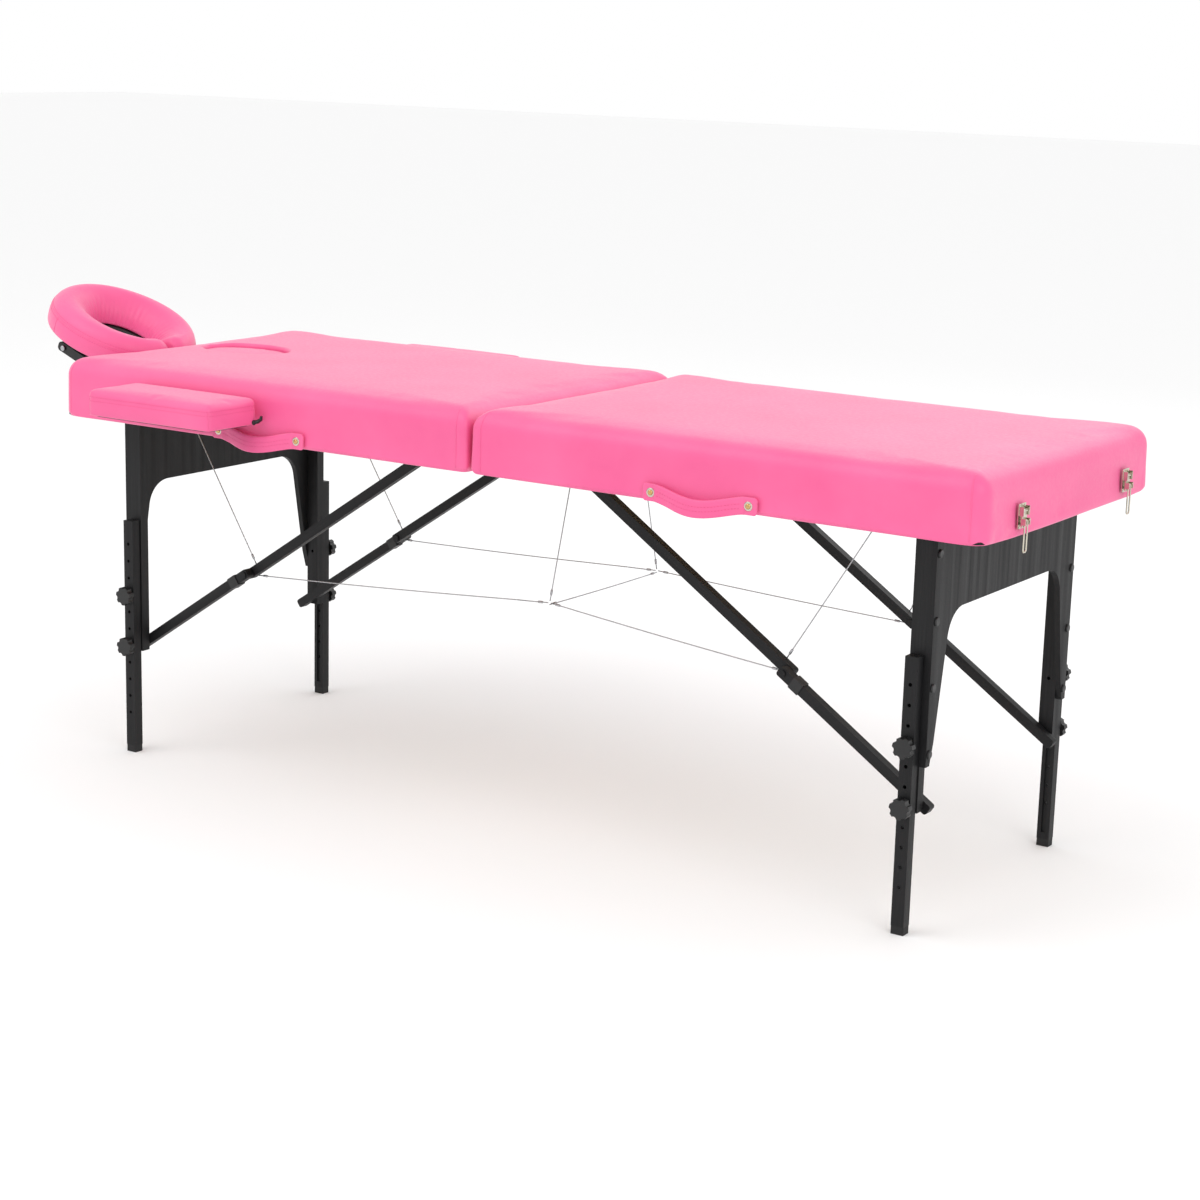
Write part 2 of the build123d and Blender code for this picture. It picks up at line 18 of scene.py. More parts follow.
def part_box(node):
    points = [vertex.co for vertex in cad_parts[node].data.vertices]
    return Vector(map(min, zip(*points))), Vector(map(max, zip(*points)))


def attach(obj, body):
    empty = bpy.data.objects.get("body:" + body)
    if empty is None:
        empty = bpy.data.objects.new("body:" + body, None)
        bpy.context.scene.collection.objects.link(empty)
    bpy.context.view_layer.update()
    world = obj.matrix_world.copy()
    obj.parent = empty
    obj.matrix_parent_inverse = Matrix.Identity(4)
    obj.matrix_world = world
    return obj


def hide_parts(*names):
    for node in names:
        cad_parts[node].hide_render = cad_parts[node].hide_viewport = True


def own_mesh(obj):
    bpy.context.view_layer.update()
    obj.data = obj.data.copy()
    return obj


MM = 0.001
SIMULATION_FRAMES = 20
GRID_STEP = 8.5 * MM

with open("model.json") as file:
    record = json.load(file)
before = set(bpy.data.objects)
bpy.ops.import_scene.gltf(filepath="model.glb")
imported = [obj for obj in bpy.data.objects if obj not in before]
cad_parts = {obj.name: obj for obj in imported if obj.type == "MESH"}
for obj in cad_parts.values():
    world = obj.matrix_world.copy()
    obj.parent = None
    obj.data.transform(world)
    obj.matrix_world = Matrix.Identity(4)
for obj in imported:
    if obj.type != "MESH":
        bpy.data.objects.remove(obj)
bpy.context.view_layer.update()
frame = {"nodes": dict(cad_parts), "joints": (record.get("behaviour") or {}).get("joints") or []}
nodes = frame["nodes"]
joints = {joint["name"]: joint for joint in frame["joints"]}
random.seed(7)


# ---- materials ----
def linear(red, green, blue):
    """A colour given in 0-255 display values, as the shader's linear values."""
    values = [value / 255 for value in (red, green, blue)]
    return tuple(v / 12.92 if v <= 0.04045 else ((v + 0.055) / 1.055) ** 2.4 for v in values)


def base_material(name, colour, roughness, metallic=0.0):
    """A plain material, with its node tree and shader, for the functions below to detail."""
    material = bpy.data.materials.new(name)
    material.use_nodes = True
    shader = material.node_tree.nodes["Principled BSDF"]
    shader.inputs["Base Color"].default_value = (*colour, 1)
    shader.inputs["Roughness"].default_value = roughness
    shader.inputs["Metallic"].default_value = metallic
    return material, material.node_tree, shader


def mapping(tree, scale, rotation=(0, 0, 0)):
    """Object coordinates turned and scaled, as an output socket."""
    coordinates = tree.nodes.new("ShaderNodeTexCoord")
    turn = tree.nodes.new("ShaderNodeMapping")
    turn.vector_type = "TEXTURE"
    turn.inputs["Rotation"].default_value = rotation
    stretch = tree.nodes.new("ShaderNodeMapping")
    stretch.inputs["Scale"].default_value = scale
    tree.links.new(coordinates.outputs["Object"], turn.inputs["Vector"])
    tree.links.new(turn.outputs["Vector"], stretch.inputs["Vector"])
    return stretch.outputs["Vector"]


def noise(tree, vector, scale, detail=3.0, rough=0.55):
    """A noise texture's value, as an output socket."""
    texture = tree.nodes.new("ShaderNodeTexNoise")
    texture.inputs["Scale"].default_value = scale
    texture.inputs["Detail"].default_value = detail
    texture.inputs["Roughness"].default_value = rough
    tree.links.new(vector, texture.inputs["Vector"])
    return texture.outputs["Fac"]


def spread(tree, value, low, high, start=0.3, end=0.7):
    """A texture value mapped onto the range low to high."""
    node = tree.nodes.new("ShaderNodeMapRange")
    node.inputs["From Min"].default_value = start
    node.inputs["From Max"].default_value = end
    node.inputs["To Min"].default_value = low
    node.inputs["To Max"].default_value = high
    tree.links.new(value, node.inputs["Value"])
    return node.outputs["Result"]


def two_colours(tree, shader, value, first, second):
    """Gives the shader a base colour that runs from first to second with a texture value."""
    ramp = tree.nodes.new("ShaderNodeValToRGB")
    ramp.color_ramp.elements[0].position = 0.3
    ramp.color_ramp.elements[0].color = (*first, 1)
    ramp.color_ramp.elements[1].position = 0.7
    ramp.color_ramp.elements[1].color = (*second, 1)
    tree.links.new(value, ramp.inputs["Fac"])
    tree.links.new(ramp.outputs["Color"], shader.inputs["Base Color"])


def bump(tree, shader, heights):
    """Stacks bumps onto the shader: heights is a list of (value, strength, distance)."""
    normal = None
    for value, strength, distance in heights:
        node = tree.nodes.new("ShaderNodeBump")
        node.inputs["Strength"].default_value = strength
        node.inputs["Distance"].default_value = distance
        tree.links.new(value, node.inputs["Height"])
        if normal is not None:
            tree.links.new(normal, node.inputs["Normal"])
        normal = node.outputs["Normal"]
    tree.links.new(normal, shader.inputs["Normal"])


def leatherette_material():
    """Pink artificial leather: pebbled grain, soft creases, a little uneven gloss."""
    pink, deep = linear(240, 100, 153), linear(232, 88, 144)
    material, tree, shader = base_material("pink_leatherette", pink, 0.42)
    vector = mapping(tree, (1, 1, 1))
    pebbles = tree.nodes.new("ShaderNodeTexVoronoi")
    pebbles.feature = "SMOOTH_F1"
    pebbles.inputs["Scale"].default_value = 620
    tree.links.new(vector, pebbles.inputs["Vector"])
    creases = noise(tree, vector, 160, 5, 0.6)
    patches = noise(tree, vector, 7, 3)
    two_colours(tree, shader, patches, deep, pink)
    tree.links.new(spread(tree, creases, 0.36, 0.50), shader.inputs["Roughness"])
    bump(tree, shader, [(creases, 0.10, 0.6 * MM), (pebbles.outputs["Distance"], 0.16, 0.5 * MM)])
    shader.inputs["Sheen Weight"].default_value = 0.2
    shader.inputs["Sheen Roughness"].default_value = 0.4
    return material


def thread_material():
    """Waxed pink thread with its twist."""
    material, tree, shader = base_material("pink_thread", linear(226, 70, 128), 0.55)
    vector = mapping(tree, (1, 1, 1))
    fibres = noise(tree, vector, 2500, 2)
    two_colours(tree, shader, fibres, linear(205, 55, 112), linear(240, 96, 150))
    bump(tree, shader, [(fibres, 0.4, 0.2 * MM)])
    return material


def wood_material(name, along, rotation=(0, 0, 0)):
    """Black stained timber. along is the axis of its grain: 0, 1 or 2."""
    material, tree, shader = base_material(name, linear(13, 13, 14), 0.55)
    fine = [900.0, 900.0, 900.0]
    fine[along] = 14.0
    broad = [70.0, 70.0, 70.0]
    broad[along] = 2.0
    fibres = noise(tree, mapping(tree, fine, rotation), 1, 4, 0.65)
    rings = noise(tree, mapping(tree, broad, rotation), 1, 3, 0.5)
    two_colours(tree, shader, fibres, linear(7, 7, 8), linear(24, 24, 26))
    tree.links.new(spread(tree, rings, 0.42, 0.62), shader.inputs["Roughness"])
    bump(tree, shader, [(rings, 0.12, 1.0 * MM), (fibres, 0.45, 0.5 * MM)])
    shader.inputs["Specular IOR Level"].default_value = 0.3
    return material


def plywood_material():
    """The raw deck board, seen only from below."""
    material, tree, shader = base_material("raw_plywood", linear(190, 160, 120), 0.7)
    figure = noise(tree, mapping(tree, (3, 60, 60)), 1, 5, 0.6)
    two_colours(tree, shader, figure, linear(168, 134, 94), linear(208, 180, 140))
    bump(tree, shader, [(figure, 0.25, 0.6 * MM)])
    return material


def plastic_material(name, grey, roughness, grain):
    """Moulded black plastic or rubber with a fine spark-eroded grain."""
    material, tree, shader = base_material(name, linear(grey, grey, grey + 1), roughness)
    vector = mapping(tree, (1, 1, 1))
    speckle = noise(tree, vector, grain, 2)
    wear = noise(tree, vector, 40, 4)
    dark = linear(grey - 5, grey - 5, grey - 4)
    light = linear(grey + 7, grey + 7, grey + 8)
    two_colours(tree, shader, wear, dark, light)
    tree.links.new(spread(tree, wear, roughness - 0.08, roughness + 0.1), shader.inputs["Roughness"])
    bump(tree, shader, [(speckle, 0.3, 0.3 * MM)])
    return material


def metal_material(name, colour, roughness, metallic=1.0):
    """Metal with faint smudges and pits."""
    material, tree, shader = base_material(name, colour, roughness, metallic)
    vector = mapping(tree, (1, 1, 1))
    smudges = noise(tree, vector, 60, 4)
    pits = noise(tree, vector, 1400, 3)
    dull = tuple(0.8 * part for part in colour)
    two_colours(tree, shader, smudges, dull, colour)
    tree.links.new(spread(tree, smudges, roughness * 0.7, roughness * 1.5), shader.inputs["Roughness"])
    bump(tree, shader, [(pits, 0.12, 0.2 * MM)])
    return material


def wire_rope_material():
    """Bright wire rope, with its lay as slanting ridges, and painted shade darkening the grooves between
    them.
    """
    material, tree, shader = base_material("wire_rope", linear(190, 190, 192), 0.35, 1.0)
    strands = tree.nodes.new("ShaderNodeTexWave")
    strands.bands_direction = "DIAGONAL"
    strands.inputs["Scale"].default_value = 260
    strands.inputs["Distortion"].default_value = 0.4
    tree.links.new(mapping(tree, (1, 1, 1)), strands.inputs["Vector"])
    value = strands.outputs["Fac"]
    # painted shade: the colour darkens where the bump sinks, in the grooves between the strands
    two_colours(tree, shader, value, linear(120, 120, 124), linear(215, 215, 218))
    bump(tree, shader, [(value, 0.6, 0.4 * MM)])
    return material


brace_slope = math.atan2(
    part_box("foot_upper_braces")[1].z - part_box("foot_lower_braces")[0].z,
    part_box("foot_lower_braces")[1].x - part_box("foot_upper_braces")[0].x)

pink = leatherette_material()
thread = thread_material()
upright_wood = wood_material("black_wood_upright", 2)
rail_wood = wood_material("black_wood_rails", 0)
panel_wood = wood_material("black_wood_panel", 2)
foot_brace_wood = wood_material("black_wood_foot_brace", 0, (0, brace_slope, 0))
head_brace_wood = wood_material("black_wood_head_brace", 0, (0, -brace_slope, 0))
board_black = wood_material("black_board", 0)
raw_plywood = plywood_material()
black_plastic = plastic_material("black_plastic", 20, 0.42, 1500)
black_rubber = plastic_material("black_rubber", 17, 0.7, 700)
black_steel = metal_material("black_steel", linear(22, 22, 23), 0.38, 0.0)
nickel = metal_material("bright_nickel", linear(214, 206, 190), 0.16)
brass = metal_material("rivet_brass", linear(214, 178, 118), 0.22)
zinc = metal_material("zinc_steel", linear(186, 188, 192), 0.34)
wire_rope = wire_rope_material()


def paint(node, material):
    """Gives a CAD node a material, and leaves its mesh alone."""
    obj = nodes[node]
    if not obj.material_slots:
        obj.data.materials.append(material)
    for slot in obj.material_slots:
        slot.material = material


# ---- mesh helpers ----
def add_mesh(name, vertices, faces, material, body, smooth=True):
    """A new piece that rides on a body, with the given material."""
    mesh = bpy.data.meshes.new(name)
    mesh.from_pydata([tuple(float(c) for c in v) for v in vertices], [], faces)
    mesh.materials.append(material)
    mesh.polygons.foreach_set("use_smooth", [smooth] * len(mesh.polygons))
    obj = bpy.data.objects.new(name, mesh)
    bpy.context.scene.collection.objects.link(obj)
    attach(obj, body)
    return obj


class Shape:
    """Vertices and faces gathered from several closed parts of one piece."""

    def __init__(self):
        self.vertices = []
        self.faces = []

    def rings(self, rings, capped=True):
        """Skins equal rings of points in order, with both ends closed if capped."""
        start = len(self.vertices)
        count = len(rings[0])
        for ring in rings:
            self.vertices.extend(ring)
        for row in range(len(rings) - 1):
            for i in range(count):
                a = start + row * count + i
                b = start + row * count + (i + 1) % count
                self.faces.append((a, b, b + count, a + count))
        if capped:
            last = start + (len(rings) - 1) * count
            self.faces.append(tuple(start + i for i in reversed(range(count))))
            self.faces.append(tuple(last + i for i in range(count)))

    def tube(self, points, radii, sides=8):
        """A round tube along points, with one radius for each of them."""
        points = [Vector(p) for p in points]
        side = None
        rings = []
        for i, point in enumerate(points):
            ahead = points[min(i + 1, len(points) - 1)] - points[max(i - 1, 0)]
            ahead.normalize()
            if side is None:
                side = ahead.orthogonal().normalized()
            side = (side - ahead * side.dot(ahead)).normalized()
            other = ahead.cross(side)
            turn = [2 * math.pi * k / sides for k in range(sides)]
            rings.append([point + (side * math.cos(t) + other * math.sin(t)) * radii[i]
                          for t in turn])
        self.rings(rings)

    def lathe(self, profile, origin, axis, sides=28):
        """Turns a profile of (radius, height) about an axis through origin."""
        axis = Vector(axis).normalized()
        side = axis.orthogonal().normalized()
        other = axis.cross(side)
        turn = [2 * math.pi * k / sides for k in range(sides)]
        self.rings([[Vector(origin) + axis * height +
                     (side * math.cos(t) + other * math.sin(t)) * radius for t in turn]
                    for radius, height in profile])

    def piece(self, name, material, body, slot, smooth=True):
        """Makes everything gathered so far into one piece."""
        return add_mesh(name, self.vertices, self.faces, material, body, smooth)


def coordinates(mesh):
    """A mesh's vertex places, one row for each."""
    values = np.zeros(len(mesh.vertices) * 3)
    mesh.vertices.foreach_get("co", values)
    return values.reshape(-1, 3)


def set_coordinates(obj, values):
    """Moves a piece's vertices to the given rows."""
    obj.data.vertices.foreach_set("co", np.asarray(values, float).ravel())
    obj.data.update()


def puff(obj, held, pressure, cap):
    """Blows a cover up with Blender's cloth, as the foam does under it, by at most cap."""
    before = coordinates(obj.data)
    group = obj.vertex_groups.new(name="held")
    group.add([int(i) for i in held], 1.0, "REPLACE")
    modifier = obj.modifiers.new("cloth", "CLOTH")
    cloth = modifier.settings
    cloth.quality = 5
    cloth.mass = 0.3
    cloth.tension_stiffness = 60
    cloth.compression_stiffness = 60
    cloth.shear_stiffness = 30
    cloth.bending_stiffness = 6
    cloth.vertex_group_mass = "held"
    cloth.use_pressure = True
    cloth.uniform_pressure_force = pressure
    cloth.effector_weights.gravity = 0
    modifier.collision_settings.use_collision = False
    for step in range(1, SIMULATION_FRAMES + 1):
        bpy.context.scene.frame_set(step)
    posed = obj.evaluated_get(bpy.context.evaluated_depsgraph_get())
    after = coordinates(posed.data)
    obj.modifiers.remove(modifier)
    obj.vertex_groups.clear()
    bpy.context.scene.frame_set(1)
    shift = after - before
    reach = np.linalg.norm(shift, axis=1, keepdims=True) + 1e-9
    set_coordinates(obj, before + shift * cap * np.tanh(reach / cap) / reach)


def subdivide(obj):
    """One level of smooth subdivision, applied."""
    modifier = obj.modifiers.new("smooth", "SUBSURF")
    modifier.levels = modifier.render_levels = 1
    posed = obj.evaluated_get(bpy.context.evaluated_depsgraph_get())
    mesh = bpy.data.meshes.new_from_object(posed)
    obj.modifiers.remove(modifier)
    obj.data = mesh


def on_surface(obj, point):
    """The nearest point of a piece's surface, and the surface's direction there."""
    _, place, normal, _ = obj.closest_point_on_mesh(Vector(point))
    return place, normal


def resample(path, step):
    """Points evenly spaced along a polyline."""
    points = np.array([tuple(p) for p in path])
    lengths = np.r_[0, np.cumsum(np.linalg.norm(np.diff(points, axis=0), axis=1))]
    count = max(2, int(lengths[-1] / step) + 1)
    at = np.linspace(0, lengths[-1], count)
    return [Vector([float(np.interp(d, lengths, points[:, k])) for k in range(3)]) for d in at]


def stitches(shape, surface, path, length=3.6 * MM, pitch=5.4 * MM, radius=0.5 * MM):
    """A row of thread stitches that lie on a surface along a path."""
    points = resample(path, pitch)
    for point, ahead in zip(points, points[1:]):
        run = (ahead - point).normalized() * length
        centre = point + run * 0.5
        ends = [on_surface(surface, point + run * part) for part in (0.0, 0.25, 0.75, 1.0)]
        sink = (-0.5, 0.15, 0.15, -0.5)
        line = [place + normal * radius * depth for (place, normal), depth in zip(ends, sink)]
        if (line[3] - line[0]).length > 0.3 * length and (centre - line[1]).length < 4 * length:
            shape.tube(line, [radius * 0.5, radius, radius, radius * 0.5], 5)


# ---- rounded padded boxes ----
def rounded_grid(low, high, radius, step, closed):
    """The surface of a slab with rounded upright corners and top edge.

    Returns its vertices and faces, then the rim where the sides end at the bottom, in order,
    and the outward direction at each vertex of the rim. A closed slab has a bottom face.
    """
    low, high = np.array(low, float), np.array(high, float)
    counts = [max(3, round((high[k] - low[k]) / step)) for k in range(3)]
    lines = [np.linspace(low[k], high[k], counts[k] + 1) for k in range(3)]
    core_low = low + radius
    core_high = high - radius
    core_low[2] = low[2]
    nx, ny, nz = counts
    index, vertices, faces = {}, [], []

    def vertex(i, j, k):
        if (i, j, k) not in index:
            point = np.array([lines[0][i], lines[1][j], lines[2][k]])
            core = np.clip(point, core_low, core_high)
            out = point - core
            reach = np.linalg.norm(out)
            if k == 0 and 0 < i < nx and 0 < j < ny:
                out = out * min(1, radius / max(reach, 1e-9))
            else:
                out = out / reach * radius
            index[(i, j, k)] = len(vertices)
            vertices.append(core + out)
        return index[(i, j, k)]

    for i in range(nx):
        for j in range(ny):
            faces.append((vertex(i, j, nz), vertex(i + 1, j, nz),
                          vertex(i + 1, j + 1, nz), vertex(i, j + 1, nz)))
            if closed:
                faces.append((vertex(i, j, 0), vertex(i, j + 1, 0),
                              vertex(i + 1, j + 1, 0), vertex(i + 1, j, 0)))
    for k in range(nz):
        for i in range(nx):
            faces.append((vertex(i, 0, k), vertex(i + 1, 0, k),
                          vertex(i + 1, 0, k + 1), vertex(i, 0, k + 1)))
            faces.append((vertex(i + 1, ny, k), vertex(i, ny, k),
                          vertex(i, ny, k + 1), vertex(i + 1, ny, k + 1)))
        for j in range(ny):
            faces.append((vertex(0, j + 1, k), vertex(0, j, k),
                          vertex(0, j, k + 1), vertex(0, j + 1, k + 1)))
            faces.append((vertex(nx, j, k), vertex(nx, j + 1, k),
                          vertex(nx, j + 1, k + 1), vertex(nx, j, k + 1)))
    loop = [(i, 0) for i in range(nx)] + [(nx, j) for j in range(ny)]
    loop += [(i, ny) for i in range(nx, 0, -1)] + [(0, j) for j in range(ny, 0, -1)]
    rim = [vertex(i, j, 0) for i, j in loop]
    core = [np.clip(vertices[v], core_low, core_high) for v in rim]
    outward = [(vertices[v] - c) / np.linalg.norm(vertices[v] - c) for v, c in zip(rim, core)]
    return vertices, faces, rim, outward


def extend_rim(vertices, faces, rim, outward, profile):
    """Carries a shell on from its rim along a profile of (inset, z), one ring for each."""
    base = [vertices[v].copy() for v in rim]
    previous = list(rim)
    count = len(rim)
    for inset, z in profile:
        ring = []
        for point, out in zip(base, outward):
            moved = point - out * inset
            moved[2] = z
            ring.append(len(vertices))
            vertices.append(moved)
        for i in range(count):
            j = (i + 1) % count
            faces.append((previous[j], previous[i], ring[i], ring[j]))
        previous = ring


def cut_oval(obj, centre, half_x, half_y, rim_radius, floor_z):
    """Cuts an oval hole in the top of a pad, with a rolled rim and a lined wall."""
    mesh = bmesh.new()
    mesh.from_mesh(obj.data)
    wide_x, wide_y = half_x + rim_radius, half_y + rim_radius
    near_top = max(v.co.z for v in mesh.verts) - 12 * MM

    def reach(co):
        return math.hypot((co.x - centre[0]) / wide_x, (co.y - centre[1]) / wide_y)

    gone = [f for f in mesh.faces
            if f.calc_center_median().z > near_top and reach(f.calc_center_median()) < 1]
    bmesh.ops.delete(mesh, geom=gone, context="FACES")
    edges = [e for e in mesh.edges if e.is_boundary and reach(e.verts[0].co) < 1.4
             and e.verts[0].co.z > near_top]
    edge = edges[0]
    start, vert = edge.verts
    loop = [start]
    chosen = set(edges)
    while vert != start:
        loop.append(vert)
        edge = next(e for e in vert.link_edges if e in chosen and e != edge)
        vert = edge.other_vert(vert)
    angles = [math.atan2((v.co.y - centre[1]) / wide_y, (v.co.x - centre[0]) / wide_x)
              for v in loop]
    turning = 1 if sum(math.remainder(b - a, 2 * math.pi) for a, b in
                       zip(angles, angles[1:])) > 0 else -1
    first = angles[0]
    rim_z = [v.co.z for v in loop]
    for i, v in enumerate(loop):
        angle = first + turning * 2 * math.pi * i / len(loop)
        v.co.x = centre[0] + wide_x * math.cos(angle)
        v.co.y = centre[1] + wide_y * math.sin(angle)
    on_rim = set(loop)
    near = [v for v in mesh.verts if v not in on_rim and reach(v.co) < 1.5
            and v.co.z > near_top]
    for _ in range(6):
        bmesh.ops.smooth_vert(mesh, verts=near, factor=0.5, use_axis_x=True, use_axis_y=True,
                              use_axis_z=False)
    previous = loop
    steps = [math.radians(a) for a in (20, 40, 60, 80, 90)]
    profile = [(rim_radius * math.sin(a), rim_radius * (1 - math.cos(a))) for a in steps]
    depth = sum(rim_z) / len(rim_z) - floor_z
    profile += [(rim_radius, depth * part) for part in (0.4, 0.7, 1.0)]
    for inward, down in profile:
        ring = []
        for i, v in enumerate(loop):
            angle = first + turning * 2 * math.pi * i / len(loop)
            ring.append(mesh.verts.new((
                centre[0] + (wide_x - inward) * math.cos(angle),
                centre[1] + (wide_y - inward) * math.sin(angle), rim_z[i] - down)))
        for i in range(len(loop)):
            j = (i + 1) % len(loop)
            mesh.faces.new((previous[i], previous[j], ring[j], ring[i]))
        previous = ring
    bmesh.ops.recalc_face_normals(mesh, faces=mesh.faces)
    for face in mesh.faces:
        face.smooth = True
    mesh.to_mesh(obj.data)
    mesh.free()
    if obj.data.polygons[0].normal.z < 0:
        obj.data.flip_normals()


# ---- the two padded halves ----
PAD_RADIUS = 31 * MM
ROLL = 7 * MM
LIP = 23.2 * MM
PLEAT_ANGLE = math.radians(12)
SWELL = 4.5 * MM


def pad_cover(end):
    """One half's padded cover: swollen top, rolled lower edge, lip under the rails."""
    low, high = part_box(end + "_cover")
    bottom = low.z
    seam = high.x if end == "head" else low.x
    vertices, faces, rim, outward = rounded_grid(
        (low.x, low.y, bottom + ROLL), (high.x, high.y, high.z), PAD_RADIUS, GRID_STEP, False)
    bend = [math.radians(a) for a in (22.5, 45, 67.5, 90)]
    profile = [(ROLL * (1 - math.cos(a)), bottom + ROLL * (1 - math.sin(a))) for a in bend]
    held_from = len(vertices) + 3 * len(rim)
    profile += [(part * LIP, bottom) for part in (0.5, 0.75, 1.0)]
    profile += [(LIP, bottom + 4 * MM)]
    extend_rim(vertices, faces, rim, outward, profile)
    obj = add_mesh(end + "_pad_cover", vertices, faces, pink, end + "_half")
    tighten_corners(obj, seam, 1 if end == "head" else -1, high.y)
    puff(obj, range(held_from, len(vertices)), 4.0, SWELL)
    if end == "head":
        plug_low, plug_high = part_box("breathing_plug")
        centre = (plug_low + plug_high) / 2
        half = (plug_high - plug_low) / 2
        cut_oval(obj, (centre.x, centre.y), half.x + 0.8 * MM, half.y + 0.8 * MM, 7.0 * MM,
                 plug_low.z)
    subdivide(obj)
    values = coordinates(obj.data)
    gap = 0.3 * MM
    if end == "head":
        values[:, 0] = np.minimum(values[:, 0], seam + gap)
    else:
        values[:, 0] = np.maximum(values[:, 0], seam - gap)
    set_coordinates(obj, values)
    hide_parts(end + "_cover", end + "_foam")
    pleats(end, obj, low, high)
    return obj


def tighten_corners(obj, seam, side, half_width):
    """Makes the two upright corners beside the seam squarer than the rest."""
    values = coordinates(obj.data)
    out_x = np.maximum((values[:, 0] - seam) * side + PAD_RADIUS, 0)
    out_y = np.maximum(np.abs(values[:, 1]) - half_width + PAD_RADIUS, 0)
    reach = np.maximum(np.hypot(out_x, out_y), 1e-9)
    squareness = 6
    total = (out_x / reach) ** squareness + (out_y / reach) ** squareness
    diagonal = 2 * 0.5 ** (squareness / 2)
    stretch = np.maximum(total, diagonal) ** (-1 / squareness) - 1
    beside_both = (out_x > 0) & (out_y > 0)
    values[:, 0] += side * out_x * stretch * beside_both
    values[:, 1] += np.sign(values[:, 1]) * out_y * stretch * beside_both
    set_coordinates(obj, values)


def pleats(end, surface, low, high):
    """The folded seam at each upright corner of a cover, from the lower edge onto the top."""
    shape = Shape()
    for side_x in (-1, 1):
        for side_y in (-1, 1):
            corner = Vector((high.x if side_x > 0 else low.x, high.y if side_y > 0 else low.y, 0))
            core = corner - Vector((side_x, side_y, 0)) * PAD_RADIUS
            out = Vector((side_x * math.sin(PLEAT_ANGLE), side_y * math.cos(PLEAT_ANGLE), 0))
            path = []
            for z in np.linspace(low.z + ROLL, high.z - PAD_RADIUS, 12):
                path.append(core + out * PAD_RADIUS + Vector((0, 0, z)))
            for turn in np.linspace(0.12, 1.35, 12):
                height = high.z - PAD_RADIUS + PAD_RADIUS * math.sin(turn)
                path.append(core + out * PAD_RADIUS * math.cos(turn) + Vector((0, 0, height)))
            line = [on_surface(surface, point)[0] for point in path]
            count = len(line)
            radii = [0.9 * MM * (1 - 0.75 * max(0, (i - count * 0.6) / (count * 0.4)))
                     for i in range(count)]
            shape.tube(line, radii, 8)
    piece = shape.piece(end + "_pad_pleats", pink, end + "_half", "leatherette")
    return piece


# ---- breathing plug ----
def breathing_plug():
    """The oval plug cushion that fills the breathing hole."""
    low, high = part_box("breathing_plug")
    centre = (low + high) / 2
    half = (high - low) / 2
    edge = 6 * MM
    crown = 2.0 * MM
    top = high.z
    rings = []
    sides = 96
    for part in (0.02, 0.12, 0.24, 0.36, 0.48, 0.6, 0.7, 0.8, 0.88, 0.95, 1.0):
        z = top + crown * (1 - part ** 2)
        rings.append(oval_ring(centre, (half.x - edge) * part, (half.y - edge) * part, z, sides))
    for angle in (15, 30, 45, 60, 75, 90):
        a = math.radians(angle)
        grow = edge * math.sin(a)
        rings.append(oval_ring(centre, half.x - edge + grow, half.y - edge + grow,
                               top - edge * (1 - math.cos(a)), sides))
    for part in (0.25, 0.5, 0.75, 1.0):
        z = top - edge - (top - edge - low.z) * part
        rings.append(oval_ring(centre, half.x, half.y, z, sides))
    shape = Shape()
    shape.rings(rings[::-1])
    obj = shape.piece("breathing_plug_cushion", pink, "breathing_plug_body", "leatherette")
    values = coordinates(obj.data)
    held = np.nonzero(values[:, 2] < low.z + 20 * MM)[0]
    puff(obj, held, 4.0, 2.0 * MM)
    values = coordinates(obj.data)
    reach = np.hypot((values[:, 0] - centre.x) / half.x, (values[:, 1] - centre.y) / half.y)
    limit = np.maximum(reach, 1)[:, None]
    values[:, :2] = np.array(centre)[:2] + (values[:, :2] - np.array(centre)[:2]) / limit
    set_coordinates(obj, values)
    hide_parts("breathing_plug")


def oval_ring(centre, half_x, half_y, z, sides):
    """A level oval ring of points about a centre."""
    turn = [2 * math.pi * k / sides for k in range(sides)]
    return [Vector((centre.x + half_x * math.cos(t), centre.y + half_y * math.sin(t), z))
            for t in turn]


